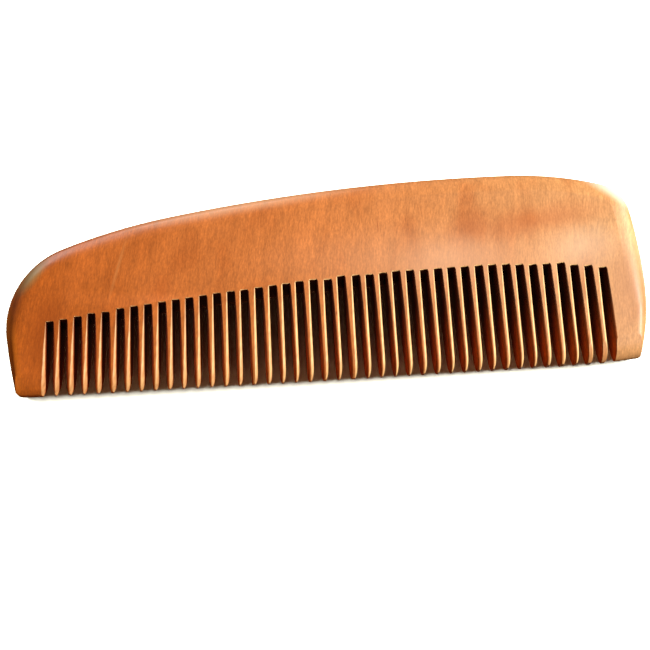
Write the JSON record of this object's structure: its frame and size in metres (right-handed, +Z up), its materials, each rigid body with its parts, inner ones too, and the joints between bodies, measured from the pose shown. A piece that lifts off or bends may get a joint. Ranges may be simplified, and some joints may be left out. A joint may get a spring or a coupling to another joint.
{
  "type": "wooden pocket comb",
  "caption": "Flat wooden pocket comb with a thick rounded curved back, broad end guards and a row of fine sawn, pointed teeth.",
  "frame": {"origin": "on the surface that the comb lies on, under the middle of its bounding box", "axes": "+X along the comb towards its high blunt end, +Y from the tooth tips to the back, +Z up through the thickness; the comb lies on its lower flank"},
  "size_m": [0.1304, 0.0418, 0.0106],
  "materials": {
    "fruitwood": "satin, sanded smooth and lightly waxed"
  },
  "bodies": {
    "root": {"comb": "fruitwood"}
  },
  "joints": []
}
